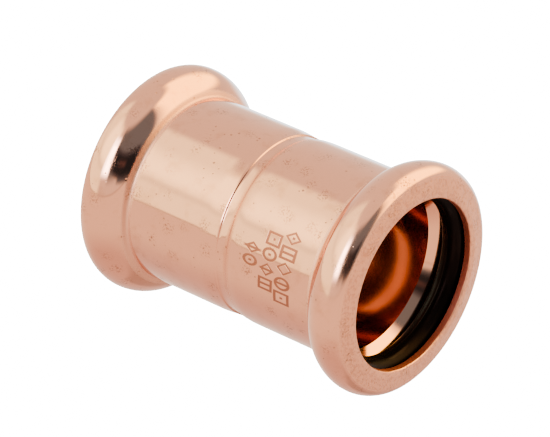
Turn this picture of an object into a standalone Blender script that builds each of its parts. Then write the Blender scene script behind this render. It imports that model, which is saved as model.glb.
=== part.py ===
"""Straight copper press coupling for 22 mm tube, with an O-ring in each end bead.

The coupling lies on its side. Its axis is the X axis and its middle is the origin.
Every piece is a closed section in the (axial, radial) plane, turned once round X.
"""

from math import atan2, cos, pi, radians, sin, sqrt, tan

import bmesh
import bpy

MM = 0.001

# Driving dimensions of the copper sleeve.
HALF_LENGTH = 21.7 * MM
BODY_RADIUS = 12.45 * MM
BEAD_RADIUS = 15.4 * MM
SOCKET_RADIUS = 11.15 * MM
MOUTH_RADIUS = 11.4 * MM

# The bead. Its crest stands CREST_DEPTH behind the mouth. The copper is thinner there.
# The front arc leans over into a tighter corner arc, and then into a face that is nearly
# flat: it tilts back by FACE_TILT all the way in to a flat rim round the mouth.
CREST_DEPTH = 2.5 * MM
BEAD_FRONT_ARC = 3.0 * MM
BEAD_CORNER_ARC = 1.5 * MM
BEAD_REAR_ARC = 4.3 * MM
BEAD_WALL = 0.9 * MM
BEAD_ROOT_FILLET = 0.45 * MM
CORNER_LEAN = radians(61)
FACE_TILT = radians(9.5)
LIP_THICKNESS = 1.05 * MM
LIP_EDGE_ROUND = 0.2 * MM

# Inside the bead, the socket ends at a crisp edge and opens out in a cone. From the
# cone's end a steep flank leads to the crown.
CONE_START = 15.1 * MM
CONE_END = 16.55 * MM
CONE_TILT = radians(42)
CROWN_START = radians(140)

# The rolled stop groove: a wide dip outside, a narrow channel in it, a ridge inside.
DIP_HALF_WIDTH = 3.0 * MM
DIP_DEPTH = 0.2 * MM
CHANNEL_HALF_WIDTH = 0.75 * MM
CHANNEL_WALL = 0.2 * MM
CHANNEL_DEPTH = 0.15 * MM
RIDGE_HEIGHT = 0.42 * MM
RIDGE_TOP_HALF_WIDTH = 0.1 * MM
RIDGE_FLANK = 2.05 * MM

# The O-ring. Copper and rubber keep a clearance of FIT_GAP.
FIT_GAP = 0.3 * MM
RING_SECTION_RADIUS = 1.75 * MM
RING_RADIUS = 12.3 * MM

# Facets round the axis. Half a step of turn lays a facet, not an edge, on the ground.
SLEEVE_STEPS = 40
RING_STEPS = 40
RING_SECTION_SIDES = 12

COPPER_COLOUR = (0.80, 0.46, 0.33, 1.0)
RUBBER_COLOUR = (0.012, 0.010, 0.009, 1.0)


def arc(centre, radius, start, end, count):
    """Points from angle start to end, measured from +axial towards +radial."""
    points = []
    for i in range(count):
        angle = start + i / (count - 1) * (end - start)
        points.append((centre[0] + radius * cos(angle), centre[1] + radius * sin(angle)))
    return points


def bead_front(wall):
    """The bead's front from its face to its crest, moved inwards by the wall's thickness."""
    centre = (HALF_LENGTH - CREST_DEPTH, BEAD_RADIUS - BEAD_FRONT_ARC)
    shift = BEAD_FRONT_ARC - BEAD_CORNER_ARC
    corner_centre = (centre[0] + shift * cos(CORNER_LEAN), centre[1] + shift * sin(CORNER_LEAN))
    corner = arc(corner_centre, BEAD_CORNER_ARC - wall, FACE_TILT, CORNER_LEAN, 5)
    return corner + arc(centre, BEAD_FRONT_ARC - wall, CORNER_LEAN, pi / 2, 3)[1:]


def bead_rear():
    """Outside of the bead from its crest to its root, where a small fillet meets the body."""
    centre = (HALF_LENGTH - CREST_DEPTH, BEAD_RADIUS - BEAD_REAR_ARC)
    fillet_r = BODY_RADIUS + BEAD_ROOT_FILLET
    rise = fillet_r - centre[1]
    run = sqrt((BEAD_REAR_ARC + BEAD_ROOT_FILLET) ** 2 - rise**2)
    lean = atan2(rise, -run)
    rear = arc(centre, BEAD_REAR_ARC, pi / 2, lean, 6)
    fillet = arc((centre[0] - run, fillet_r), BEAD_ROOT_FILLET, lean - pi, -pi / 2, 3)
    return rear[1:] + fillet[1:]


def outer_half():
    """Outside of the +X half, from the lip's edge to the middle."""
    edge_centre = (HALF_LENGTH - LIP_EDGE_ROUND, MOUTH_RADIUS + LIP_EDGE_ROUND)
    lip_edge = arc(edge_centre, LIP_EDGE_ROUND, -pi / 2, 0, 3)
    front = bead_front(0)
    rim_radius = front[0][1] - (HALF_LENGTH - front[0][0]) / tan(FACE_TILT)
    dip = [
        (x, BODY_RADIUS - DIP_DEPTH * (1 + cos(pi * x / DIP_HALF_WIDTH)) / 2)
        for x in (DIP_HALF_WIDTH, 0.65 * DIP_HALF_WIDTH, CHANNEL_HALF_WIDTH + CHANNEL_WALL)
    ]
    channel = (CHANNEL_HALF_WIDTH, dip[-1][1] - CHANNEL_DEPTH)
    return lip_edge + [(HALF_LENGTH, rim_radius)] + front + bead_rear() + dip + [channel]


def cavity():
    """Inside of the bead: the cone, the steep flank, the crown and the back of the front."""
    cone_end_radius = SOCKET_RADIUS + (CONE_END - CONE_START) * tan(CONE_TILT)
    cone = [(CONE_START, SOCKET_RADIUS), (CONE_END, cone_end_radius)]
    centre = (HALF_LENGTH - CREST_DEPTH, BEAD_RADIUS - BEAD_REAR_ARC)
    crown = arc(centre, BEAD_REAR_ARC - BEAD_WALL, CROWN_START, pi / 2, 5)
    return cone + crown + bead_front(BEAD_WALL)[-2::-1]


def inner_half():
    """Inside of the +X half, from the stop ridge to the lip's edge."""
    ridge = [
        (RIDGE_TOP_HALF_WIDTH, SOCKET_RADIUS - RIDGE_HEIGHT),
        (RIDGE_TOP_HALF_WIDTH + RIDGE_FLANK, SOCKET_RADIUS),
    ]
    bead = cavity()
    lip_back = HALF_LENGTH - LIP_THICKNESS
    return ridge + bead + [(lip_back, bead[-1][1]), (lip_back, MOUTH_RADIUS)]


def mirrored(points):
    """The same points on the -X side, in the reverse order."""
    return [(-x, r) for x, r in reversed(points)]


def turned(name, section, steps, material):
    """Turn a closed section once round the X axis into one smooth-shaded solid."""
    mesh = bmesh.new()
    start = pi / steps
    ring = [mesh.verts.new((x, -r * sin(start), r * cos(start))) for x, r in section]
    edges = [mesh.edges.new((a, b)) for a, b in zip(ring, ring[1:] + ring[:1])]
    bmesh.ops.spin(
        mesh, geom=ring + edges, cent=(0, 0, 0), axis=(1, 0, 0), angle=2 * pi, steps=steps
    )
    bmesh.ops.remove_doubles(mesh, verts=mesh.verts, dist=0.001 * MM)
    bmesh.ops.recalc_face_normals(mesh, faces=mesh.faces)
    data = bpy.data.meshes.new(name)
    mesh.to_mesh(data)
    mesh.free()
    data.shade_smooth()
    data.set_sharp_from_angle(angle=radians(35))
    data.materials.append(material)
    piece = bpy.data.objects.new(name, data)
    bpy.context.collection.objects.link(piece)
    return piece


def finish(name, colour, metallic, roughness):
    """A plain Principled material."""
    material = bpy.data.materials.new(name)
    material.use_nodes = True
    shader = material.node_tree.nodes["Principled BSDF"]
    shader.inputs["Base Color"].default_value = colour
    shader.inputs["Metallic"].default_value = metallic
    shader.inputs["Roughness"].default_value = roughness
    return material


def make_sleeve():
    """The one-piece copper sleeve."""
    outside = outer_half()
    inside = inner_half()
    section = outside + mirrored(outside) + mirrored(inside) + inside
    copper = finish("polished_copper", COPPER_COLOUR, 1.0, 0.25)
    turned("coupling_body", section, SLEEVE_STEPS, copper)


def make_o_rings():
    """Two equal O-rings, each seated in its bead just behind the lip."""
    rubber = finish("epdm_rubber", RUBBER_COLOUR, 0.0, 0.35)
    ring_x = HALF_LENGTH - LIP_THICKNESS - FIT_GAP - RING_SECTION_RADIUS
    section = arc((0, RING_RADIUS), RING_SECTION_RADIUS, 0, 2 * pi, RING_SECTION_SIDES + 1)[:-1]
    for name, side in (("o_ring_right", 1), ("o_ring_left", -1)):
        ring = turned(name, section, RING_STEPS, rubber)
        ring.location.x = side * ring_x


def main():
    """Clear the scene, then build the three pieces."""
    for old in list(bpy.data.objects):
        bpy.data.objects.remove(old)
    make_sleeve()
    make_o_rings()


main()
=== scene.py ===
"""Looks for a straight copper press coupling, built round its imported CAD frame.

The coupling lies on its side along the X axis, with its middle at the origin. It is one
copper sleeve with an O-ring in each end bead. All three pieces are sections turned once
round X. Lengths are in metres, and MM turns a size in millimetres into one.
"""

import logging
import math
from dataclasses import dataclass, field
from enum import Enum

import bmesh
import bpy
from mathutils import Matrix, Vector


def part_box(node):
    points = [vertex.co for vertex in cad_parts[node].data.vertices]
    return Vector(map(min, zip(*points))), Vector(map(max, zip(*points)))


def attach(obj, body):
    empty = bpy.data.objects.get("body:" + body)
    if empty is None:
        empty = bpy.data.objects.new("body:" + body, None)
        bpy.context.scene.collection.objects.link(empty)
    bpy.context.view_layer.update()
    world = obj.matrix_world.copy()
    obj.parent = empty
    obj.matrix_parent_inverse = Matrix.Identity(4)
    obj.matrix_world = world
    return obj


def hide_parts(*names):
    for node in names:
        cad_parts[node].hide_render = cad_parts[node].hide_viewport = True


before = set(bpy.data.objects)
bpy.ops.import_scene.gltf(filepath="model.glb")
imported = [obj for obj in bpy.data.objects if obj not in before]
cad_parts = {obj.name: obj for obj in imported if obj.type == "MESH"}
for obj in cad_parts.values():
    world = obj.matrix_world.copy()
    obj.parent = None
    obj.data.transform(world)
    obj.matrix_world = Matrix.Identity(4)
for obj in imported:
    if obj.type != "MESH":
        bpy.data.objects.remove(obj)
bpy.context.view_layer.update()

LOG = logging.getLogger("coupling")
MM = 0.001

Point = tuple[float, float]
Span = tuple[float, float]
Colour = tuple[float, float, float, float]


def linear(hex_colour: str) -> Colour:
    """Turn an sRGB hex colour into linear RGBA.

    Args:
        hex_colour: Six hex digits after a "#".

    Returns:
        Linear red, green and blue, and an alpha of 1.
    """
    parts = []
    for start in (1, 3, 5):
        value = int(hex_colour[start:start + 2], 16) / 255
        parts.append(value / 12.92 if value <= 0.04045 else ((value + 0.055) / 1.055) ** 2.4)
    return (*parts, 1.0)


def add_node(
    tree: bpy.types.NodeTree,
    kind: str,
    inputs: dict[str | int, object] | None = None,
    **settings: object,
) -> bpy.types.Node:
    """Add one node with its settings, constants and incoming links.

    Args:
        tree: The tree that the node goes into.
        kind: The node's type, such as "ShaderNodeMath".
        inputs: Socket name or number, and the output socket or constant that it takes.
        **settings: Attributes of the node, such as its operation.

    Returns:
        The new node.
    """
    node = tree.nodes.new(kind)
    for name, value in settings.items():
        setattr(node, name, value)
    for key, value in (inputs or {}).items():
        if isinstance(value, bpy.types.NodeSocket):
            tree.links.new(value, node.inputs[key])
        else:
            node.inputs[key].default_value = value
    return node


def link_object(name: str, data: bpy.types.ID) -> bpy.types.Object:
    """Make an object for this data, at the origin, and put it in the scene.

    Args:
        name: The object's name.
        data: Its mesh, light or camera.

    Returns:
        The new object.
    """
    made = bpy.data.objects.new(name, data)
    bpy.context.scene.collection.objects.link(made)
    return made


def arc(centre: Point, radius: float, start: float, end: float, count: int,
        end_radius: float | None = None) -> list[Point]:
    """Points on an arc in the (axial, radial) plane.

    Args:
        centre: The arc's centre.
        radius: Its radius at the start.
        start: First angle in radians, from +axial towards +radial.
        end: Last angle.
        count: How many points, both ends included.
        end_radius: Its radius at the end, if that differs.

    Returns:
        The points in order.
    """
    growth = 0.0 if end_radius is None else end_radius - radius
    points = []
    for i in range(count):
        share = i / (count - 1)
        angle = start + share * (end - start)
        reach = radius + share * growth
        points.append((centre[0] + reach * math.cos(angle), centre[1] + reach * math.sin(angle)))
    return points


def line(start: Point, end: Point, count: int) -> list[Point]:
    """Points at equal steps from start towards end, with the end itself left out."""
    return [tuple(a + (b - a) * i / count for a, b in zip(start, end)) for i in range(count)]


def eased(corners: list[Point], reach: float, count: int = 4) -> list[Point]:
    """Round the inner corners of an open line with short parabolas.

    Args:
        corners: The line's corners, its two ends included.
        reach: How far before and after a corner its bend runs.
        count: Points in each bend, less one.

    Returns:
        The points of the rounded line.
    """
    rounded = [corners[0]]
    for before, corner, after in zip(corners, corners[1:], corners[2:]):
        ends = []
        for other in (before, after):
            span = math.dist(corner, other)
            ends.append([c + (o - c) * reach / span for c, o in zip(corner, other)])
        for i in range(count + 1):
            t = i / count
            rounded.append(tuple((1 - t) ** 2 * start + 2 * t * (1 - t) * c + t ** 2 * end
                                 for start, c, end in zip(ends[0], corner, ends[1])))
    return rounded + [corners[-1]]


# ---------------------------------------------------------------- finishes


class MarkShape(Enum):
    """Plain outlines for the etched marks. None of them is a letter or a number."""

    DIAMOND = "diamond"
    SQUARE = "square"
    RING = "ring"


class MarkCore(Enum):
    """What stands inside an etched outline."""

    DOT = "dot"
    BAR = "bar"
    NONE = "none"


@dataclass(frozen=True)
class MarkRow:
    """One row of etched marks, running round the body.

    Attributes:
        axial: Place of the row's first mark along the axis, in millimetres.
        height: Height of a mark along the axis, in millimetres.
        first: Angle of the first mark above the -Y side, in degrees.
        pitch: Angle from one mark to the next, in degrees.
        marks: Outline and core of each mark.
        slant: Axial step from one mark to the next, in millimetres.
    """

    axial: float
    height: float
    first: float
    pitch: float
    marks: tuple[tuple[MarkShape, MarkCore], ...]
    slant: float = -0.04


ETCHED_ROWS = (
    MarkRow(10.65, 2.1, 35.2, 9.3, (
        (MarkShape.DIAMOND, MarkCore.DOT),
        (MarkShape.SQUARE, MarkCore.BAR),
        (MarkShape.DIAMOND, MarkCore.NONE),
        (MarkShape.RING, MarkCore.BAR),
        (MarkShape.SQUARE, MarkCore.DOT),
    )),
    MarkRow(8.0, 1.9, 30.4, 9.2, (
        (MarkShape.SQUARE, MarkCore.DOT),
        (MarkShape.RING, MarkCore.DOT),
        (MarkShape.DIAMOND, MarkCore.BAR),
        (MarkShape.SQUARE, MarkCore.BAR),
    )),
    MarkRow(5.2, 1.9, 21.2, 7.6, (
        (MarkShape.DIAMOND, MarkCore.BAR),
        (MarkShape.RING, MarkCore.DOT),
    )),
)


@dataclass(frozen=True)
class Patch:
    """How the copper looks where one kind of mark, treatment or painted shade shows.

    Attributes:
        colour: Its colour.
        cover: Share of the colour under it that it hides.
        roughness: Its roughness, or None where it keeps that of the metal under it.
        depth: How far it stands proud, in millimetres, below 0 where it is sunk.
    """

    colour: str
    cover: float
    roughness: float | None = None
    depth: float = 0.0


@dataclass(frozen=True)
class BrightCopper:
    """Phosphorus-deoxidised copper tube, cold formed, then pickled and bright dipped.

    It gives a salmon-pink mirror that is a little wavy, with pickling stains, pits that
    catch dirt, a paler, rougher band just outward of each bead's root, painted shade in the
    groove as a darker orange band on its soft wall, and a satin, finely turned end face.
    Lengths are in millimetres. A reach gives the depths behind the end face where a patch
    starts and where it is full. A width gives a band's half width where it is full and
    where it has faded out. Levels are those of a noise where a patch starts to show and
    where it is full.

    Attributes:
        metal: Colour of the bright metal.
        mirror: Its roughness.
        crease_shift: How far the paler, rougher band lies outward of the bead's root.
        pit_cell: Spacing of the places where a pit may lie.
        pit_group: Size of a loose group of pits.
        pit_rim: Shares of a pit's radius where it starts and where it is full.
        speck_cell: Spacing of the groups of specks.
        speck_group: Radius of such a group.
        cloud_roughness: How strong the finer patches inside a cloudy patch are.
        swell_length: Length of the metal's slow waves.
        body_radius: Radius of the body, on which the etched marks lie.
        etch_line: Width of an etched line.
        etch_edges: Shares of that width where the line starts and where it is full.
        mark_half_width: Half width of a mark, as a share of the step to the next one.
        bar_stretch: How far a bar's core is stretched along the axis: less is longer.
    """

    metal: str = "#DA9D83"
    mirror: float = 0.075

    stain: Patch = Patch("#C08468", 0.42, 0.1425)
    # A paler, rougher band, centred just outward of each bead's root.
    crease: Patch = Patch("#DBA68E", 0.6, 0.5)
    # Painted shade: a darker orange band along the channel's soft wall.
    groove: Patch = Patch("#C9805C", 0.42, 0.3)
    face: Patch = Patch("#C9805C", 0.12, 0.34)
    grit: Patch = Patch("#B87860", 0.45, depth=-0.025)
    speck: Patch = Patch("#9E6A54", 0.75, 0.22, -0.004)
    pit: Patch = Patch("#80523F", 0.66, 0.4, -0.014)
    etch: Patch = Patch("#8F5746", 0.9, 0.42, -0.015)
    bore: Patch = Patch("#DB9D80", 1.0, 0.1)
    lip: Patch = Patch("#B26C5C", 1.0, 0.55)
    scuff: Patch = Patch("#DA9D83", 0.0, 0.16)

    face_reach: Span = (0.42, 0.26)
    lip_reach: Span = (1.12, 1.0)
    scuff_reach: Span = (4.6, 2.4)
    crease_shift: float = 0.2
    crease_width: Span = (0.3, 0.62)
    groove_width: Span = (0.2, 0.7)

    stain_size: float = 2.6
    stain_levels: Span = (0.5, 0.74)
    pit_cell: float = 1.0
    pit_radius: float = 0.24
    pit_group: float = 4.0
    pit_levels: Span = (0.42, 0.66)
    pit_rim: Span = (1.0, 0.25)
    speck_cell: float = 3.0
    speck_group: float = 1.35
    speck_levels: Span = (0.5, 0.62)
    cloud_roughness: float = 0.62

    # Real grit scars, specks, grain and turning marks are 0.02 to 0.1 mm apart, which is
    # too fine to show. grit_size, speck_size, grain_size and turning_pitch are drawn a few
    # times as coarse as that.
    grit_size: float = 0.42
    grit_levels: Span = (0.44, 0.64)
    speck_size: float = 0.26
    grain_size: float = 0.16
    grain_depth: float = 0.0007
    turning_pitch: float = 0.26
    turning_depth: float = 0.0012
    swell_length: float = 7.0
    swell_depth: float = 0.022

    body_radius: float = 12.45
    etch_line: float = 0.3
    etch_edges: Span = (0.62, 0.38)
    mark_half_width: float = 0.36
    bar_stretch: float = 0.18

    def make(self, half_length: float, crease_at: float, groove_at: float) -> bpy.types.Material:
        """Build the material.

        Args:
            half_length: Distance from the middle to the end face, in metres.
            crease_at: Distance from the middle to the bead's root, in metres.
            groove_at: Axial place of the groove's soft wall, where the painted shade lies, in
                metres.

        Returns:
            The copper material.
        """
        material = bpy.data.materials.new("bright_dipped_copper")
        material.use_nodes = True
        tree = material.node_tree
        shader = tree.nodes["Principled BSDF"]
        shader.inputs["Metallic"].default_value = 1.0
        place = add_node(tree, "ShaderNodeTexCoord").outputs["Object"]
        in_mm = add_node(tree, "ShaderNodeVectorMath", {0: place, "Scale": 1 / MM},
                         operation="SCALE").outputs[0]
        masks = self.masks(tree, in_mm, half_length / MM, crease_at / MM, groove_at / MM)
        tree.links.new(self.colour(tree, masks), shader.inputs["Base Color"])
        tree.links.new(self.roughness(tree, masks), shader.inputs["Roughness"])
        tree.links.new(self.relief(tree, in_mm, masks), shader.inputs["Normal"])
        return material

    def masks(self, tree: bpy.types.NodeTree, in_mm: bpy.types.NodeSocket, end: float,
              crease_at: float, groove_at: float) -> dict[str, bpy.types.NodeSocket]:
        """Where each kind of patch shows.

        Args:
            tree: The material's tree.
            in_mm: The place on the piece, in millimetres.
            end: Distance from the middle to the end face, in millimetres.
            crease_at: Distance from the middle to the bead's root, in millimetres.
            groove_at: Axial place of the groove's soft wall, where the painted shade lies, in
                millimetres.

        Returns:
            A mask's socket for each patch, by the patch's name.
        """
        axes = add_node(tree, "ShaderNodeSeparateXYZ", {0: in_mm}).outputs
        along = axes["X"]
        outward = add_node(tree, "ShaderNodeMath", {0: along}, operation="ABSOLUTE").outputs[0]
        front = add_node(tree, "ShaderNodeMath", {0: axes["Y"], 1: -1.0},
                         operation="MULTIPLY").outputs[0]
        turn = add_node(tree, "ShaderNodeMath", {0: axes["Z"], 1: front},
                        operation="ARCTAN2").outputs[0]
        inside = add_node(tree, "ShaderNodeAttribute", attribute_name="bore").outputs["Fac"]
        outside = add_node(tree, "ShaderNodeMath", {0: 1.0, 1: inside},
                           operation="SUBTRACT").outputs[0]
        face, lip, scuff = (
            self.ramp(tree, value, end - reach[0], end - reach[1])
            for value, reach in ((outward, self.face_reach), (outward, self.lip_reach),
                                 (along, self.scuff_reach)))
        masks = {
            "stain": self.cloud(tree, in_mm, self.stain_size, 5.0, self.stain_levels),
            "crease": self.band(tree, outward, crease_at + self.crease_shift, self.crease_width),
            # Painted shade, centred on the channel's soft wall.
            "groove": self.band(tree, along, groove_at, self.groove_width),
            "face": face,
            "grit": self.cloud(tree, in_mm, self.grit_size, 3.0, self.grit_levels),
            "speck": self.specks(tree, in_mm),
            "pit": self.pits(tree, in_mm),
            "etch": self.etched(tree, along, turn),
            "bore": inside,
            "lip": lip,
            "scuff": scuff,
        }
        for name, limit in (("lip", inside), ("pit", outside), ("speck", outside), ("grit", face)):
            masks[name] = add_node(tree, "ShaderNodeMath", {0: masks[name], 1: limit},
                                   operation="MULTIPLY").outputs[0]
        return masks

    def colour(self, tree: bpy.types.NodeTree,
               masks: dict[str, bpy.types.NodeSocket]) -> bpy.types.NodeSocket:
        """The metal's colour, with each patch laid over those before it.

        Args:
            tree: The material's tree.
            masks: Where each patch shows.

        Returns:
            The colour's socket.
        """
        colour = linear(self.metal)
        for name in ("stain", "crease", "groove", "face", "grit", "speck", "pit", "etch", "bore",
                     "lip"):
            patch = getattr(self, name)
            amount = add_node(tree, "ShaderNodeMath", {0: masks[name], 1: patch.cover},
                              operation="MULTIPLY").outputs[0]
            colour = add_node(tree, "ShaderNodeMix",
                              {"Factor": amount, 6: colour, 7: linear(patch.colour)},
                              data_type="RGBA").outputs[2]
        return colour

    def roughness(self, tree: bpy.types.NodeTree,
                  masks: dict[str, bpy.types.NodeSocket]) -> bpy.types.NodeSocket:
        """The metal's roughness, with each patch laid over those before it.

        Args:
            tree: The material's tree.
            masks: Where each patch shows.

        Returns:
            The roughness's socket.
        """
        roughness = self.mirror
        for name in ("scuff", "stain", "speck", "crease", "groove", "bore", "face", "lip", "pit",
                     "etch"):
            level = getattr(self, name).roughness
            roughness = add_node(tree, "ShaderNodeMix",
                                 {"Factor": masks[name], 2: roughness, 3: level},
                                 data_type="FLOAT").outputs[0]
        return roughness

    def relief(self, tree: bpy.types.NodeTree, in_mm: bpy.types.NodeSocket,
               masks: dict[str, bpy.types.NodeSocket]) -> bpy.types.NodeSocket:
        """Bumps: a slow swell, fine grain, the face's turning marks, and the sunk patches.

        Args:
            tree: The material's tree.
            in_mm: The place on the piece, in millimetres.
            masks: Where each patch shows.

        Returns:
            The normal's socket.
        """
        swell, grain = (
            add_node(tree, "ShaderNodeTexNoise",
                     {"Vector": in_mm, "Scale": 1 / size, "Detail": detail}).outputs["Fac"]
            for size, detail in ((self.swell_length, 1.0), (self.grain_size, 3.0)))
        cross = add_node(tree, "ShaderNodeVectorMath", {0: in_mm, 1: (0, 1, 1)},
                         operation="MULTIPLY").outputs[0]
        rings = add_node(tree, "ShaderNodeVectorMath", {0: cross},
                         operation="LENGTH").outputs["Value"]
        for operation, operand in (("MULTIPLY", math.tau / self.turning_pitch), ("SINE", 0.0),
                                   ("MULTIPLY", masks["face"])):
            rings = add_node(tree, "ShaderNodeMath", {0: rings, 1: operand},
                             operation=operation).outputs[0]
        heights = [(swell, self.swell_depth), (grain, self.grain_depth),
                   (rings, self.turning_depth)]
        heights += [(masks[name], getattr(self, name).depth)
                    for name in ("grit", "speck", "pit", "etch")]
        normal = None
        for height, depth in heights:
            inputs = {"Height": height, "Distance": abs(depth) * MM}
            if normal is not None:
                inputs["Normal"] = normal
            normal = add_node(tree, "ShaderNodeBump", inputs, invert=depth < 0).outputs[0]
        return normal

    @staticmethod
    def ramp(tree: bpy.types.NodeTree, value: bpy.types.NodeSocket, low: float,
             high: float) -> bpy.types.NodeSocket:
        """A smooth step from 0 at low to 1 at high.

        Args:
            tree: The material's tree.
            value: What is measured.
            low: Where the step starts.
            high: Where it ends. Below low, the step falls.

        Returns:
            The mask's socket.
        """
        ends = (0.0, 1.0) if low < high else (1.0, 0.0)
        return add_node(
            tree, "ShaderNodeMapRange",
            {0: value, 1: min(low, high), 2: max(low, high), 3: ends[0], 4: ends[1]},
            interpolation_type="SMOOTHSTEP",
        ).outputs[0]

    def band(self, tree: bpy.types.NodeTree, value: bpy.types.NodeSocket, middle: float,
             width: Span) -> bpy.types.NodeSocket:
        """A soft band of values about a middle.

        Args:
            tree: The material's tree.
            value: What is measured.
            middle: The band's middle.
            width: Half width of the full band, and half width where it has faded out.

        Returns:
            The mask's socket.
        """
        for operation, operand in (("SUBTRACT", middle), ("ABSOLUTE", 0.0)):
            value = add_node(tree, "ShaderNodeMath", {0: value, 1: operand},
                             operation=operation).outputs[0]
        return self.ramp(tree, value, width[1], width[0])

    def cloud(self, tree: bpy.types.NodeTree, in_mm: bpy.types.NodeSocket, size: float,
              detail: float, levels: Span) -> bpy.types.NodeSocket:
        """Cloudy patches.

        Args:
            tree: The material's tree.
            in_mm: The place on the piece, in millimetres.
            size: Width of a patch, in millimetres.
            detail: Octaves of finer patches inside.
            levels: Noise level where a patch starts to show, and where it is full.

        Returns:
            The mask's socket.
        """
        noise = add_node(tree, "ShaderNodeTexNoise",
                         {"Vector": in_mm, "Scale": 1 / size, "Detail": detail,
                          "Roughness": self.cloud_roughness})
        return self.ramp(tree, noise.outputs["Fac"], *levels)

    def pits(self, tree: bpy.types.NodeTree, in_mm: bpy.types.NodeSocket) -> bpy.types.NodeSocket:
        """Small pits in loose groups, one to a Voronoi cell at most.

        Args:
            tree: The material's tree.
            in_mm: The place on the piece, in millimetres.

        Returns:
            The mask's socket.
        """
        cells = add_node(tree, "ShaderNodeTexVoronoi",
                         {"Vector": in_mm, "Scale": 1 / self.pit_cell})
        groups = self.cloud(tree, in_mm, self.pit_group, 2.0, self.pit_levels)
        # The small addend keeps the division below from dividing by nothing.
        reach = add_node(tree, "ShaderNodeMath",
                         {0: groups, 1: self.pit_radius / self.pit_cell, 2: 0.001},
                         operation="MULTIPLY_ADD")
        ratio = add_node(tree, "ShaderNodeMath",
                         {0: cells.outputs["Distance"], 1: reach.outputs[0]}, operation="DIVIDE")
        return self.ramp(tree, ratio.outputs[0], *self.pit_rim)

    def specks(self, tree: bpy.types.NodeTree,
               in_mm: bpy.types.NodeSocket) -> bpy.types.NodeSocket:
        """Tiny specks that sit close together in small round groups.

        Args:
            tree: The material's tree.
            in_mm: The place on the piece, in millimetres.

        Returns:
            The mask's socket.
        """
        cells = add_node(tree, "ShaderNodeTexVoronoi",
                         {"Vector": in_mm, "Scale": 1 / self.speck_cell})
        full = 0.05
        group = self.ramp(tree, cells.outputs["Distance"], self.speck_group / self.speck_cell, full)
        fine = self.cloud(tree, in_mm, self.speck_size, 1.0, self.speck_levels)
        return add_node(tree, "ShaderNodeMath", {0: group, 1: fine},
                        operation="MULTIPLY").outputs[0]

    def etched(self, tree: bpy.types.NodeTree, along: bpy.types.NodeSocket,
               turn: bpy.types.NodeSocket) -> bpy.types.NodeSocket:
        """The etched marks: thin outlines with a dot or a bar inside.

        Args:
            tree: The material's tree.
            along: Place along the axis, in millimetres.
            turn: Angle above the -Y side, in radians.

        Returns:
            The mask's socket.
        """
        nearest = 1.0
        for row in ETCHED_ROWS:
            half_width = self.mark_half_width * math.radians(row.pitch) * self.body_radius
            for i, (shape, core) in enumerate(row.marks):
                across, up = turn, along
                middle = math.radians(row.first - i * row.pitch)
                for operation, operand in (("SUBTRACT", middle),
                                           ("MULTIPLY", self.body_radius / half_width),
                                           ("ABSOLUTE", 0.0)):
                    across = add_node(tree, "ShaderNodeMath", {0: across, 1: operand},
                                      operation=operation).outputs[0]
                for operation, operand in (("SUBTRACT", row.axial + i * row.slant),
                                           ("MULTIPLY", 2 / row.height), ("ABSOLUTE", 0.0)):
                    up = add_node(tree, "ShaderNodeMath", {0: up, 1: operand},
                                  operation=operation).outputs[0]
                away = self.outline_level(tree, shape, across, up)
                for operation, operand in (("SUBTRACT", 1.0), ("ABSOLUTE", 0.0),
                                           ("MULTIPLY", half_width), ("MINIMUM", nearest)):
                    away = add_node(tree, "ShaderNodeMath", {0: away, 1: operand},
                                    operation=operation).outputs[0]
                nearest = away
                if core is MarkCore.NONE:
                    continue
                height = 1.0 if core is MarkCore.DOT else self.bar_stretch
                inner = up
                for operation, operand in (("MULTIPLY", height), ("MAXIMUM", across),
                                           ("MULTIPLY", half_width), ("MINIMUM", nearest)):
                    inner = add_node(tree, "ShaderNodeMath", {0: inner, 1: operand},
                                     operation=operation).outputs[0]
                nearest = inner
        first, last = (edge * self.etch_line for edge in self.etch_edges)
        return self.ramp(tree, nearest, first, last)

    @staticmethod
    def outline_level(tree: bpy.types.NodeTree, shape: MarkShape, across: bpy.types.NodeSocket,
                      up: bpy.types.NodeSocket) -> bpy.types.NodeSocket:
        """A measure that is 1 on the mark's outline and less inside it.

        Args:
            tree: The material's tree.
            shape: The outline's shape.
            across: Distance from the mark's middle round the body, 1 at its side.
            up: Distance from its middle along the axis, 1 at its top.

        Returns:
            The measure's socket.
        """
        if shape is MarkShape.RING:
            pair = add_node(tree, "ShaderNodeCombineXYZ", {0: across, 1: up}).outputs[0]
            return add_node(tree, "ShaderNodeVectorMath", {0: pair},
                            operation="LENGTH").outputs["Value"]
        joined = "ADD" if shape is MarkShape.DIAMOND else "MAXIMUM"
        return add_node(tree, "ShaderNodeMath", {0: across, 1: up}, operation=joined).outputs[0]


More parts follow.
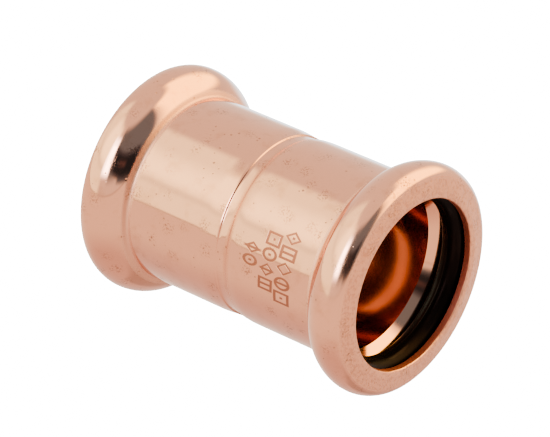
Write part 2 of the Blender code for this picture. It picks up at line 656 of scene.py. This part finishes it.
@dataclass(frozen=True)
class MouldedRubber:
    """Black EPDM, compression moulded and wiped with fitting grease.

    It gives a deep black with a soft sheen that breaks up into streaks where the
    grease is thick, over the fine grain of the mould. Lengths are in millimetres.
    """

    rubber: str = "#080706"
    greased: str = "#120D0B"
    sheen: str = "#F0B4AC"
    ior: float = 1.5
    specular_level: float = 0.14
    dry: float = 0.46
    wet: float = 0.22
    wet_levels: Span = (0.45, 0.65)
    streak_length: float = 5.0
    streak_width: float = 0.7
    # The grain of a real mould is about 0.03 mm. It is drawn four times as coarse, to show.
    grain_size: float = 0.12
    grain_depth: float = 0.002

    def make(self) -> bpy.types.Material:
        """Build the rubber material."""
        material = bpy.data.materials.new("moulded_epdm_rubber")
        material.use_nodes = True
        tree = material.node_tree
        shader = tree.nodes["Principled BSDF"]
        shader.inputs["IOR"].default_value = self.ior
        shader.inputs["Specular IOR Level"].default_value = self.specular_level
        shader.inputs["Specular Tint"].default_value = linear(self.sheen)
        place = add_node(tree, "ShaderNodeTexCoord").outputs["Object"]
        across, along = 1 / (self.streak_width * MM), 1 / (self.streak_length * MM)
        streak = add_node(tree, "ShaderNodeMapping",
                          {"Vector": place, "Scale": (across, along, along)}).outputs[0]
        smear = add_node(tree, "ShaderNodeTexNoise",
                         {"Vector": streak, "Scale": 1.0, "Detail": 3.0}).outputs["Fac"]
        wet = add_node(tree, "ShaderNodeMapRange",
                       {0: smear, 1: self.wet_levels[0], 2: self.wet_levels[1]},
                       interpolation_type="SMOOTHSTEP").outputs[0]
        colour = add_node(tree, "ShaderNodeMix",
                          {"Factor": wet, 6: linear(self.rubber), 7: linear(self.greased)},
                          data_type="RGBA").outputs[2]
        tree.links.new(colour, shader.inputs["Base Color"])
        roughness = add_node(tree, "ShaderNodeMix", {"Factor": wet, 2: self.dry, 3: self.wet},
                             data_type="FLOAT").outputs[0]
        tree.links.new(roughness, shader.inputs["Roughness"])
        grain = add_node(tree, "ShaderNodeTexNoise",
                         {"Vector": place, "Scale": 1 / (self.grain_size * MM), "Detail": 2.0})
        bump = add_node(tree, "ShaderNodeBump",
                        {"Height": grain.outputs["Fac"], "Distance": self.grain_depth * MM})
        tree.links.new(bump.outputs[0], shader.inputs["Normal"])
        return material


# ---------------------------------------------------------------- turning


@dataclass
class Lathe:
    """A Geometry Nodes tree that turns a closed section once round the X axis.

    Attributes:
        burr_reach: How far from the mouth's edge the edge's waviness fades out.
        burr_length: Length of one wave of the edge.
        burr_detail: Octaves of finer waves on it.
        merge_distance: Points that lie closer than this become one, which closes the seams.
        sharp_angle: An edge that bends more than this is shaded sharp.
        tree: The tree itself.
        sockets: Identifier of each named input.
    """

    burr_reach: float = 0.35 * MM
    burr_length: float = 2.2 * MM
    burr_detail: float = 2.5
    merge_distance: float = 0.0005 * MM
    sharp_angle: float = math.radians(38)
    tree: bpy.types.NodeTree = field(init=False)
    sockets: dict[str, str] = field(init=False, default_factory=dict)

    def __post_init__(self) -> None:
        """Build the tree once, for every piece that is turned."""
        self.tree = bpy.data.node_groups.new("turned_section", "GeometryNodeTree")
        self.declare_sockets()
        self.build_tree()

    def declare_sockets(self) -> None:
        """Give the tree its named inputs and its output, and note their identifiers."""
        face = self.tree.interface
        for name, kind in (
            ("Section", "NodeSocketGeometry"),
            ("Steps", "NodeSocketInt"),
            ("Edge Radius", "NodeSocketFloat"),
            ("Edge Place", "NodeSocketFloat"),
            ("Edge Waviness", "NodeSocketFloat"),
            ("Seed", "NodeSocketFloat"),
            ("Finish", "NodeSocketMaterial"),
        ):
            socket = face.new_socket(name=name, in_out="INPUT", socket_type=kind)
            self.sockets[name] = socket.identifier
        face.new_socket(name="Turned", in_out="OUTPUT", socket_type="NodeSocketGeometry")

    def build_tree(self) -> None:
        """Lay out a grid of section points by steps, wrap it round X and close its seams."""
        tree = self.tree
        given = add_node(tree, "NodeGroupInput").outputs
        count = add_node(tree, "GeometryNodeAttributeDomainSize", {0: given["Section"]},
                         component="MESH").outputs["Point Count"]
        rows = add_node(tree, "FunctionNodeIntegerMath", {0: count, 1: 1},
                        operation="ADD").outputs[0]
        columns = add_node(tree, "FunctionNodeIntegerMath", {0: given["Steps"], 1: 1},
                           operation="ADD").outputs[0]
        grid = add_node(tree, "GeometryNodeMeshGrid", {"Vertices X": rows, "Vertices Y": columns})
        index = add_node(tree, "GeometryNodeInputIndex").outputs[0]
        row = add_node(tree, "FunctionNodeIntegerMath", {0: index, 1: columns},
                       operation="DIVIDE_FLOOR").outputs[0]
        row = add_node(tree, "FunctionNodeIntegerMath", {0: row, 1: count},
                       operation="MODULO").outputs[0]
        column = add_node(tree, "FunctionNodeIntegerMath", {0: index, 1: columns},
                          operation="MODULO").outputs[0]
        place = add_node(tree, "GeometryNodeInputPosition").outputs[0]
        point = add_node(tree, "GeometryNodeSampleIndex",
                         {"Geometry": given["Section"], "Value": place, "Index": row},
                         data_type="FLOAT_VECTOR").outputs[0]
        share = add_node(tree, "ShaderNodeMath", {0: column, 1: given["Steps"]},
                         operation="DIVIDE").outputs[0]
        angle = add_node(tree, "ShaderNodeMath", {0: share, 1: math.tau},
                         operation="MULTIPLY").outputs[0]
        wrapped = add_node(tree, "ShaderNodeVectorRotate", {"Vector": point, "Angle": angle},
                           rotation_type="X_AXIS").outputs[0]
        shape = add_node(tree, "GeometryNodeSetPosition",
                         {"Geometry": grid.outputs["Mesh"], "Position": wrapped}).outputs[0]
        mark = add_node(tree, "GeometryNodeInputNamedAttribute", {"Name": "bore"},
                        data_type="FLOAT").outputs[0]
        bore = add_node(tree, "GeometryNodeSampleIndex",
                        {"Geometry": given["Section"], "Value": mark, "Index": row},
                        data_type="FLOAT").outputs[0]
        shape = add_node(tree, "GeometryNodeStoreNamedAttribute",
                         {"Geometry": shape, "Name": "bore", "Value": bore},
                         data_type="FLOAT", domain="POINT").outputs[0]
        shape = add_node(tree, "GeometryNodeMergeByDistance",
                         {"Geometry": shape, "Distance": self.merge_distance}).outputs[0]
        shape = self.wavy_edge(tree, given, shape)
        shape = add_node(tree, "GeometryNodeRealizeInstances", {0: shape}).outputs[0]
        shape = add_node(tree, "GeometryNodeSetMaterial",
                         {"Geometry": shape, "Material": given["Finish"]}).outputs[0]
        add_node(tree, "NodeGroupOutput", {"Turned": shape})

    def wavy_edge(self, tree: bpy.types.NodeTree, given: bpy.types.NodeOutputs,
                  shape: bpy.types.NodeSocket) -> bpy.types.NodeSocket:
        """Move the mouth's cut edge in and out a little, as a sheared edge wanders.

        Args:
            tree: The tree.
            given: The tree's inputs.
            shape: The turned shape.

        Returns:
            The shape with its wavy edge.
        """
        place = add_node(tree, "GeometryNodeInputPosition").outputs[0]
        cross = add_node(tree, "ShaderNodeVectorMath", {0: place, 1: (0, 1, 1)},
                         operation="MULTIPLY").outputs[0]
        radius = add_node(tree, "ShaderNodeVectorMath", {0: cross},
                          operation="LENGTH").outputs["Value"]
        axes = add_node(tree, "ShaderNodeSeparateXYZ", {0: place})
        along = add_node(tree, "ShaderNodeMath", {0: axes.outputs["X"]},
                         operation="ABSOLUTE").outputs[0]
        here = add_node(tree, "ShaderNodeCombineXYZ", {0: along, 1: radius}).outputs[0]
        edge = add_node(tree, "ShaderNodeCombineXYZ",
                        {0: given["Edge Place"], 1: given["Edge Radius"]}).outputs[0]
        away = add_node(tree, "ShaderNodeVectorMath", {0: here, 1: edge},
                        operation="DISTANCE").outputs["Value"]
        near = add_node(tree, "ShaderNodeMapRange",
                        {0: away, 1: 0.0, 2: self.burr_reach, 3: 1.0, 4: 0.0},
                        interpolation_type="SMOOTHSTEP").outputs[0]
        wave = add_node(tree, "ShaderNodeTexNoise",
                        {"Vector": place, "W": given["Seed"], "Scale": 1 / self.burr_length,
                         "Detail": self.burr_detail}, noise_dimensions="4D").outputs[0]
        # The noise lies about a half, so the edge wanders both ways.
        for operation, operand in (("SUBTRACT", 0.5), ("MULTIPLY", near),
                                   ("MULTIPLY", given["Edge Waviness"])):
            wave = add_node(tree, "ShaderNodeMath", {0: wave, 1: operand},
                            operation=operation).outputs[0]
        radial = add_node(tree, "ShaderNodeVectorMath", {0: cross},
                          operation="NORMALIZE").outputs[0]
        offset = add_node(tree, "ShaderNodeVectorMath", {0: radial, "Scale": wave},
                          operation="SCALE").outputs[0]
        return add_node(tree, "GeometryNodeSetPosition",
                        {"Geometry": shape, "Offset": offset}).outputs[0]

    def turn(self, name: str, section: list[Point], bore_from: int,
             values: dict[str, object]) -> bpy.types.Object:
        """Turn one section into a plain, closed mesh at the origin.

        Args:
            name: The piece's name.
            section: Closed outline in the (axial, radial) plane, in metres.
            bore_from: Number of the first point that lies inside the piece's bore.
            values: Value of each named input of the tree.

        Returns:
            The finished object.
        """
        wire = bpy.data.meshes.new(name + "_section")
        edges = [(i, (i + 1) % len(section)) for i in range(len(section))]
        wire.from_pydata([(x, 0.0, r) for x, r in section], edges, [])
        bore = wire.attributes.new("bore", "FLOAT", "POINT")
        bore.data.foreach_set("value", [float(i >= bore_from) for i in range(len(section))])
        blank = link_object(name + "_section", wire)
        modifier = blank.modifiers.new("turned", "NODES")
        modifier.node_group = self.tree
        for socket, value in values.items():
            modifier[self.sockets[socket]] = value
        blank.update_tag()
        graph = bpy.context.evaluated_depsgraph_get()
        mesh = bpy.data.meshes.new_from_object(blank.evaluated_get(graph), depsgraph=graph)
        blank.modifiers.remove(modifier)
        bpy.data.objects.remove(blank)
        bpy.data.meshes.remove(wire)
        mesh.name = name
        solid = bmesh.new()
        solid.from_mesh(mesh)
        bmesh.ops.recalc_face_normals(solid, faces=solid.faces)
        solid.to_mesh(mesh)
        solid.free()
        mesh.shade_smooth()
        mesh.set_sharp_from_angle(angle=self.sharp_angle)
        return link_object(name, mesh)


# ---------------------------------------------------------------- pieces


@dataclass
class CopperSleeve:
    """The one-piece sleeve: two beads, two turned-in lips and a rolled middle groove.

    Attributes:
        half_length: From the middle to the end face.
        bead_radius: Outer radius of a bead at its crest.
        crest_depth: How far the crest stands behind the end face.
        front_arc: Radius of the bead's outside before the crest.
        front_end: Lean at which the front arc passes into the tighter corner arc.
        face_tilt: How far the flat face behind the rim leans back.
        rear_arc: Radius of the bead's outside behind the crest.
        cone_start: Where the socket ends and opens out in a cone.
        cone_end: Where the cone passes into the bead's steep rear flank.
        crown_start: Angle at which that flank meets the crown's arc.
        soft_bend: Reach of the bends at both ends of the cone's flank.
        ridge_bend: Reach of the bends of the stop ridge.
        lip_bevel: Bevel of the lip's inner edge.
        clearance: Least step between two points of the lip's section.
        dip_half_width: Half width of the wide dip about the groove.
        channel_middle: Axial place of the channel in the dip.
        channel_inset: Distance from a wall to the nearest point of the channel's floor.
        crisp_wall: Axial reach of the channel's steep -X wall.
        soft_wall: Axial reach of its slow +X wall.
        ridge_top: Half width of the stop ridge's top.
        ridge_flank: Axial reach of each of its flanks.
        edge_waviness: How far the mouth's cut edge wanders in all.
        steps: Faces round the axis.
        seed: Seed of the edge's waves.
    """

    half_length: float
    bead_radius: float = 15.4 * MM
    body_radius: float = 12.45 * MM
    socket_radius: float = 11.15 * MM
    mouth_radius: float = 11.4 * MM
    crest_depth: float = 2.5 * MM
    front_arc: float = 3.0 * MM
    front_end: float = math.radians(61)
    corner_arc: float = 1.5 * MM
    face_tilt: float = math.radians(9.5)
    rear_arc: float = 4.3 * MM
    bead_wall: float = 0.9 * MM
    root_fillet: float = 0.45 * MM
    cone_start: float = 15.1 * MM
    cone_end: float = 16.75 * MM
    cone_tilt: float = math.radians(42)
    crown_start: float = math.radians(138)
    soft_bend: float = 0.12 * MM
    ridge_bend: float = 0.04 * MM
    lip_thickness: float = 1.05 * MM
    lip_round: float = 0.2 * MM
    lip_bevel: float = 0.08 * MM
    clearance: float = 0.02 * MM
    dip_half_width: float = 3.0 * MM
    dip_depth: float = 0.2 * MM
    channel_middle: float = 0.3 * MM
    channel_half_width: float = 0.66 * MM
    channel_depth: float = 0.15 * MM
    channel_inset: float = 0.35 * MM
    crisp_wall: float = 0.12 * MM
    soft_wall: float = 0.6 * MM
    ridge_height: float = 0.42 * MM
    ridge_top: float = 0.05 * MM
    ridge_flank: float = 2.1 * MM
    edge_waviness: float = 0.16 * MM
    steps: int = 288
    seed: float = 7.0

    @property
    def crest(self) -> float:
        """Axial place of the bead's crest."""
        return self.half_length - self.crest_depth

    def root(self) -> tuple[Point, float]:
        """Centre of the fillet at the bead's root, and the angle where the rear arc ends."""
        rear_centre = self.bead_radius - self.rear_arc
        rise = self.body_radius + self.root_fillet - rear_centre
        run = math.sqrt((self.rear_arc + self.root_fillet) ** 2 - rise ** 2)
        return (self.crest - run, self.body_radius + self.root_fillet), math.atan2(rise, -run)

    def front(self, wall: float, count: int) -> list[Point]:
        """The bead's front, moved inwards by the wall, from its flat face to its crest."""
        centre = (self.crest, self.bead_radius - self.front_arc)
        shift = self.front_arc - self.corner_arc
        corner = (centre[0] + shift * math.cos(self.front_end),
                  centre[1] + shift * math.sin(self.front_end))
        bend = arc(corner, self.corner_arc - wall, self.face_tilt, self.front_end, count)
        return bend + arc(centre, self.front_arc - wall, self.front_end, math.pi / 2, count)[1:]

    def rear(self) -> list[Point]:
        """Outside of the bead's rear arc and root fillet."""
        fillet_centre, lean = self.root()
        rear = arc((self.crest, self.bead_radius - self.rear_arc), self.rear_arc,
                   math.pi / 2, lean, 20)
        fillet = arc(fillet_centre, self.root_fillet, lean - math.pi, -math.pi / 2, 9)
        return rear[1:] + fillet[1:]

    def outer_half(self) -> list[Point]:
        """Outside from the mouth's edge over the bead to the edge of the dip."""
        edge = arc((self.half_length - self.lip_round, self.mouth_radius + self.lip_round),
                   self.lip_round, -math.pi / 2, 0, 6)
        bead = self.front(0, 18)
        flat = bead[0][1] - (self.half_length - bead[0][0]) / math.tan(self.face_tilt)
        rim = (self.half_length, flat)
        face = line(edge[-1], rim, 4)[1:] + line(rim, bead[0], 8)
        rear = self.rear()
        straight = line(rear[-1], (self.dip_half_width, self.body_radius), 10)[1:]
        return edge + face + bead + rear + straight

    def dip(self, x: float) -> float:
        """Outer radius in the wide dip, before the channel is rolled into it."""
        share = (1 + math.cos(math.pi * x / self.dip_half_width)) / 2
        return self.body_radius - self.dip_depth * share

    def channel_wall(self, top: float, foot: float) -> list[Point]:
        """One wall of the channel, from the axial place of its top down to its foot."""
        points = []
        for i in range(7):
            share = i / 6
            x = top + (foot - top) * share
            sink = self.channel_depth * (1 - math.cos(math.pi * share)) / 2
            points.append((x, self.dip(x) - sink))
        return points

    def middle(self) -> list[Point]:
        """Outside of the dip, from +X to -X, with the channel's soft and crisp walls."""
        right = self.channel_middle + self.channel_half_width
        left = self.channel_middle - self.channel_half_width
        soft_top, crisp_top = right + self.soft_wall, left - self.crisp_wall
        before = [self.dip_half_width * (1 - i / 10) for i in range(7)]
        after = [crisp_top - (self.dip_half_width + crisp_top) * i / 8 for i in range(1, 9)]
        floor = (right - self.channel_inset, self.channel_middle, left + self.channel_inset)
        return [
            *((x, self.dip(x)) for x in before if x > soft_top),
            *self.channel_wall(soft_top, right),
            *((x, self.dip(x) - self.channel_depth) for x in floor),
            *reversed(self.channel_wall(crisp_top, left)),
            *((x, self.dip(x)) for x in after),
        ]

    def ridge(self) -> list[Point]:
        """The stop ridge inside the groove, from -X to +X, with straight flanks."""
        top = self.socket_radius - self.ridge_height
        reaches = (self.ridge_top + self.ridge_flank, self.ridge_top)
        left = [(-reach, radius) for reach, radius in zip(reaches, (self.socket_radius, top))]
        right = [(-x, radius) for x, radius in reversed(left)]
        ends = [(side * self.cone_start, self.socket_radius) for side in (-1, 1)]
        return eased([ends[0], *left, *right, ends[1]], self.ridge_bend)[1:-1]

    def inner_half(self) -> list[Point]:
        """Inside of one half, from the end of the socket to the lip's inner edge."""
        lip_back = self.half_length - self.lip_thickness
        bend = arc((self.crest, self.bead_radius - self.rear_arc), self.rear_arc - self.bead_wall,
                   self.crown_start, math.pi / 2, 10)
        rise = (self.cone_end - self.cone_start) * math.tan(self.cone_tilt)
        cone = eased([(self.cone_start, self.socket_radius),
                      (self.cone_end, self.socket_radius + rise), bend[0]], self.soft_bend)[:-1]
        cavity = cone + bend + self.front(self.bead_wall, 12)[::-1][1:]
        cavity = [point for point in cavity if point[0] < lip_back - self.clearance]
        lip_front = self.half_length - self.lip_round - self.clearance
        lip = [(lip_back, cavity[-1][1]), (lip_back, self.mouth_radius + self.lip_bevel),
               (lip_back + self.lip_bevel, self.mouth_radius), (lip_front, self.mouth_radius)]
        return cavity + lip

    def build(self, lathe: Lathe, finish: BrightCopper) -> bpy.types.Object:
        """Turn the sleeve, dress it and put it in the CAD sleeve's place.

        Args:
            lathe: Turns the section.
            finish: The copper's finish.

        Returns:
            The sleeve.
        """
        mirrored = [(-x, r) for x, r in reversed(self.outer_half())]
        outside = self.outer_half() + self.middle() + mirrored
        inside = [(-x, r) for x, r in reversed(self.inner_half())]
        inside += self.ridge() + self.inner_half()
        root = self.root()[0][0]
        # The groove's painted shade is centred on the middle of the channel's soft wall.
        soft_wall = self.channel_middle + self.channel_half_width + self.soft_wall / 2
        copper = finish.make(self.half_length, root, soft_wall)
        sleeve = lathe.turn("copper_sleeve", outside + inside, len(outside), {
            "Steps": self.steps,
            "Edge Radius": self.mouth_radius,
            "Edge Place": self.half_length - self.lip_round,
            "Edge Waviness": self.edge_waviness,
            "Seed": self.seed,
            "Finish": copper,
        })
        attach(sleeve, "root")
        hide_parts("coupling_body")
        return sleeve


@dataclass
class SealRing:
    """One O-ring, with the thin flash line that its mould's two halves leave.

    Attributes:
        node: The CAD node whose place it takes.
        ring_radius: Radius of the circle that its section is turned on.
        flash_height: How far the flash line stands proud of the section.
        flash_half_angle: Half of the angle of the section that it takes up.
        section_points: Points round the section.
        steps: Faces round the axis.
    """

    node: str
    ring_radius: float = 12.3 * MM
    flash_height: float = 0.05 * MM
    flash_half_angle: float = math.radians(4)
    section_points: int = 96
    steps: int = 192

    def section(self) -> list[Point]:
        """The ring's round section at its CAD node's place, with its flash line."""
        low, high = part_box(self.node)
        middle = (low.x + high.x) / 2
        radius = (high.x - low.x) / 2
        points = []
        for i in range(self.section_points):
            angle = math.tau * i / self.section_points
            off_line = abs(math.remainder(angle - math.pi / 2, math.pi))
            flash = self.flash_height * max(0.0, 1 - off_line / self.flash_half_angle)
            reach = radius - self.flash_height + flash
            points.append((middle + reach * math.cos(angle),
                           self.ring_radius + reach * math.sin(angle)))
        return points

    def build(self, lathe: Lathe, finish: bpy.types.Material) -> bpy.types.Object:
        """Turn the ring, dress it and put it in its CAD node's place.

        Args:
            lathe: Turns the section.
            finish: The rubber material.

        Returns:
            The ring.
        """
        section = self.section()
        ring = lathe.turn("seal_" + self.node, section, len(section), {
            "Steps": self.steps,
            "Edge Radius": 0.0,
            "Edge Place": 0.0,
            "Edge Waviness": 0.0,
            "Seed": 0.0,
            "Finish": finish,
        })
        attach(ring, "root")
        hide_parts(self.node)
        return ring


# ---------------------------------------------------------------- studio


@dataclass(frozen=True)
class SoftPanel:
    """One soft-edged patch of the light tent, as seen from the object. Angles are degrees.

    Attributes:
        azimuth: Middle, measured from -Y towards +X.
        elevation: Middle, above the horizon.
        width: Full width in azimuth.
        height: Full height in elevation.
        soft_sides: How wide its side edges are.
        soft_ends: How wide its top and bottom edges are.
        colour: Its colour.
        radiance: Its brightness.
        lean: Degrees of elevation that its middle rises for each degree of azimuth.
    """

    azimuth: float
    elevation: float
    width: float
    height: float
    soft_sides: float
    soft_ends: float
    colour: str
    radiance: float
    lean: float = 0.0


TENT = (
    SoftPanel(-52, 10, 84, 102, 14, 12, "#FAFFE0", 2.5),
    SoftPanel(-30, 44, 52, 34, 26, 14, "#FAFFDC", 3.6),
    SoftPanel(-56, 22, 88, 5, 14, 5, "#FAFFE4", 2.1),
    SoftPanel(0, -90, 720, 177, 1, 2.5, "#FFF4E2", 1.5),
    SoftPanel(0, -90, 720, 92, 1, 30, "#FFE9DE", 1.12),
    SoftPanel(140, -72, 90, 34, 36, 20, "#FFE9DE", 0.8),
    SoftPanel(-10, -1, 170, 1.6, 20, 1.5, "#FFF2E0", 1.05),
    SoftPanel(-160, -22, 44, 26, 14, 14, "#DDF4FF", 2.8),
    SoftPanel(150, 35, 80, 52, 20, 10, "#FFE59A", 5.8),
    SoftPanel(58, 38, 88, 50, 8, 14, "#CBEAFF", 0.47),
    SoftPanel(74, 12, 58, 28, 8, 5, "#CBEAFF", 0.45, -0.3),
    SoftPanel(50, 21, 74, 24, 6, 5, "#D6E6FF", 0.19, -0.4),
    SoftPanel(56, 18, 60, 17, 6, 5, "#C7E3FF", 0.08, -0.4),
    SoftPanel(50, 22, 22, 5, 10, 5, "#F4DCE4", 0.2, -0.4),
    SoftPanel(0, 35, 26, 35, 8, 9, "#ECFAFF", 8.0),
)


@dataclass
class Studio:
    """The camera, the light tent, the key light and a pale floor that rises to a bowl.

    Attributes:
        azimuth: The camera's azimuth, from -Y towards +X.
        elevation: The camera's elevation.
        distance: From the object's middle to the camera.
        shift_right: How far the camera is moved to its right.
        shift_up: How far it is moved up.
        lens: Its focal length in millimetres, on a sensor as wide as the field below.
        key_azimuth: The key light's azimuth.
        key_half_width: Half of the angle that it takes up sideways.
        key_radiance: Its brightness.
        floor_flat: Radius of the flat part of the floor.
        floor_radius: Radius of its rim.
        floor_rise: Height of its rim.
        floor_glow: How brightly it is lit from below.
    """

    azimuth: float = math.radians(40.19)
    elevation: float = math.radians(30.95)
    distance: float = 470.0 * MM
    shift_right: float = -0.73 * MM
    shift_up: float = 1.12 * MM
    lens: float = 241.985
    sensor: float = 36.0
    clip_start: float = 0.05
    clip_end: float = 20.0
    tent_colour: str = "#FFF9EC"
    tent_radiance: float = 1.38
    key_azimuth: float = math.radians(1.0)
    key_elevation: float = math.radians(32.5)
    key_distance: float = 1.2
    key_half_width: float = math.radians(8.0)
    key_half_height: float = math.radians(13.0)
    key_radiance: float = 4.0
    floor_flat: float = 0.8
    floor_radius: float = 1.9
    floor_rise: float = 0.8
    floor_sides: int = 96
    floor_bends: int = 16
    floor_colour: str = "#F6F6F4"
    floor_roughness: float = 0.6
    floor_light: str = "#FFFFFF"
    floor_glow: float = 9.0

    @staticmethod
    def way_to(azimuth: float, elevation: float) -> Vector:
        """The unit vector from the object's middle in this direction."""
        level = math.cos(elevation)
        return Vector((math.sin(azimuth) * level, -math.cos(azimuth) * level,
                       math.sin(elevation)))

    def camera(self) -> bpy.types.Object:
        """Place the camera and make it the scene's."""
        right = Vector((math.cos(self.azimuth), math.sin(self.azimuth), 0))
        back = self.way_to(self.azimuth, self.elevation)
        up = back.cross(right)
        data = bpy.data.cameras.new("camera")
        data.sensor_width = self.sensor
        data.lens = self.lens
        data.clip_start = self.clip_start
        data.clip_end = self.clip_end
        made = link_object("camera", data)
        turned = Matrix((right, up, back)).transposed().to_4x4()
        place = back * self.distance + right * self.shift_right + up * self.shift_up
        made.matrix_world = Matrix.Translation(place) @ turned
        bpy.context.scene.camera = made
        return made

    def tent(self) -> bpy.types.World:
        """Build the light tent as a world of soft panels over an even glow."""
        world = bpy.data.worlds.new("light_tent")
        world.use_nodes = True
        tree = world.node_tree
        tree.nodes.clear()
        way = add_node(tree, "ShaderNodeTexCoord").outputs["Generated"]
        axes = add_node(tree, "ShaderNodeSeparateXYZ", {0: way}).outputs
        front = add_node(tree, "ShaderNodeMath", {0: axes["Y"], 1: -1.0},
                         operation="MULTIPLY").outputs[0]
        azimuth = add_node(tree, "ShaderNodeMath", {0: axes["X"], 1: front},
                           operation="ARCTAN2").outputs[0]
        elevation = add_node(tree, "ShaderNodeMath", {0: axes["Z"]},
                             operation="ARCSINE").outputs[0]
        light = add_node(tree, "ShaderNodeBackground",
                         {"Color": linear(self.tent_colour), "Strength": self.tent_radiance})
        light = light.outputs[0]
        for panel in TENT:
            mask = self.panel_mask(tree, panel, azimuth, elevation)
            glow = add_node(tree, "ShaderNodeBackground",
                            {"Color": linear(panel.colour), "Strength": panel.radiance})
            light = add_node(tree, "ShaderNodeMixShader",
                             {0: mask, 1: light, 2: glow.outputs[0]}).outputs[0]
        add_node(tree, "ShaderNodeOutputWorld", {"Surface": light})
        bpy.context.scene.world = world
        return world

    @staticmethod
    def panel_mask(tree: bpy.types.NodeTree, panel: SoftPanel, azimuth: bpy.types.NodeSocket,
                   elevation: bpy.types.NodeSocket) -> bpy.types.NodeSocket:
        """How far a direction lies inside a panel.

        Args:
            tree: The world's tree.
            panel: The panel.
            azimuth: The direction's azimuth, in radians.
            elevation: Its elevation, in radians.

        Returns:
            The socket of a mask that is 1 inside and 0 outside.
        """
        turned = add_node(tree, "ShaderNodeMath", {0: azimuth, 1: math.radians(panel.azimuth)},
                          operation="SUBTRACT").outputs[0]
        turned = add_node(tree, "ShaderNodeMath", {0: turned, 1: math.pi, 2: -math.pi},
                          operation="WRAP").outputs[0]
        rise = add_node(tree, "ShaderNodeMath", {0: turned, 1: -panel.lean, 2: elevation},
                        operation="MULTIPLY_ADD").outputs[0]
        rise = add_node(tree, "ShaderNodeMath", {0: rise, 1: math.radians(panel.elevation)},
                        operation="SUBTRACT").outputs[0]
        masks = []
        for value, size, softness in ((turned, panel.width, panel.soft_sides),
                                      (rise, panel.height, panel.soft_ends)):
            half = math.radians(size) / 2
            soft = math.radians(softness) / 2
            away = add_node(tree, "ShaderNodeMath", {0: value}, operation="ABSOLUTE").outputs[0]
            masks.append(add_node(
                tree, "ShaderNodeMapRange",
                {0: away, 1: half - soft, 2: half + soft, 3: 1.0, 4: 0.0},
                interpolation_type="SMOOTHSTEP").outputs[0])
        return add_node(tree, "ShaderNodeMath", {0: masks[0], 1: masks[1]},
                        operation="MULTIPLY").outputs[0]

    def key(self) -> bpy.types.Object:
        """Hang the key softbox: a strip beside the camera that gives the hard highlight."""
        data = bpy.data.lights.new("key_softbox", "AREA")
        data.shape = "RECTANGLE"
        across = math.tan(self.key_half_width) * math.cos(self.key_elevation)
        data.size = 2 * self.key_distance * across
        data.size_y = 2 * self.key_distance * math.tan(self.key_half_height)
        data.energy = self.key_radiance * math.pi * data.size * data.size_y
        made = link_object("key_softbox", data)
        back = self.way_to(self.key_azimuth, self.key_elevation)
        made.matrix_world = (Matrix.Translation(back * self.key_distance)
                             @ back.to_track_quat("Z", "Y").to_matrix().to_4x4())
        made.visible_camera = False
        return made

    def floor(self, level: float) -> bpy.types.Object:
        """Lay the floor: a flat disc that rises into a bowl, lit from below.

        Args:
            level: Height of the floor.

        Returns:
            The floor.
        """
        shell = bmesh.new()
        sides = self.floor_sides
        turns = [math.tau * j / sides for j in range(sides)]
        rings = []
        for i in range(self.floor_bends + 1):
            bend = i / self.floor_bends * math.pi / 2
            reach = self.floor_flat + (self.floor_radius - self.floor_flat) * math.sin(bend)
            height = level + self.floor_rise * (1 - math.cos(bend))
            rings.append([shell.verts.new((reach * math.cos(turn), reach * math.sin(turn), height))
                          for turn in turns])
        shell.faces.new(rings[0])
        for low, high in zip(rings, rings[1:]):
            for j in range(sides):
                after = (j + 1) % sides
                shell.faces.new((low[j], low[after], high[after], high[j]))
        bmesh.ops.recalc_face_normals(shell, faces=shell.faces)
        mesh = bpy.data.meshes.new("pale_floor")
        shell.to_mesh(mesh)
        shell.free()
        mesh.shade_smooth()
        made = link_object("pale_floor", mesh)
        material = bpy.data.materials.new("back_lit_opal_acrylic")
        material.use_nodes = True
        shader = material.node_tree.nodes["Principled BSDF"]
        shader.inputs["Base Color"].default_value = linear(self.floor_colour)
        shader.inputs["Roughness"].default_value = self.floor_roughness
        shader.inputs["Emission Color"].default_value = linear(self.floor_light)
        shader.inputs["Emission Strength"].default_value = self.floor_glow
        mesh.materials.append(material)
        made.visible_glossy = False
        made.visible_diffuse = False
        made.visible_shadow = False
        return made

    def build(self, level: float) -> None:
        """Set up the camera, the tent, the key light and the floor at this level."""
        self.camera()
        self.tent()
        self.key()
        self.floor(level)
        bpy.context.scene.view_settings.view_transform = "AgX"
        bpy.context.scene.view_settings.look = "AgX - Medium High Contrast"


def report(piece: bpy.types.Object) -> None:
    """Log a piece's name, triangles and size."""
    mesh = piece.data
    triangles = sum(len(face.vertices) - 2 for face in mesh.polygons)
    size = " x ".join(f"{length / MM:.2f}" for length in piece.dimensions)
    LOG.info("%s: %d triangles, %s mm", piece.name, triangles, size)


def main() -> None:
    """Build the studio, then the sleeve, then both rings, and note the sizes."""
    logging.basicConfig(level=logging.INFO, format="%(name)s: %(message)s")
    low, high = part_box("coupling_body")
    Studio().build(level=low.z)
    lathe = Lathe()
    report(CopperSleeve(half_length=high.x).build(lathe, BrightCopper()))
    rubber = MouldedRubber().make()
    for node in ("o_ring_right", "o_ring_left"):
        report(SealRing(node).build(lathe, rubber))


if __name__ == "__main__":
    main()
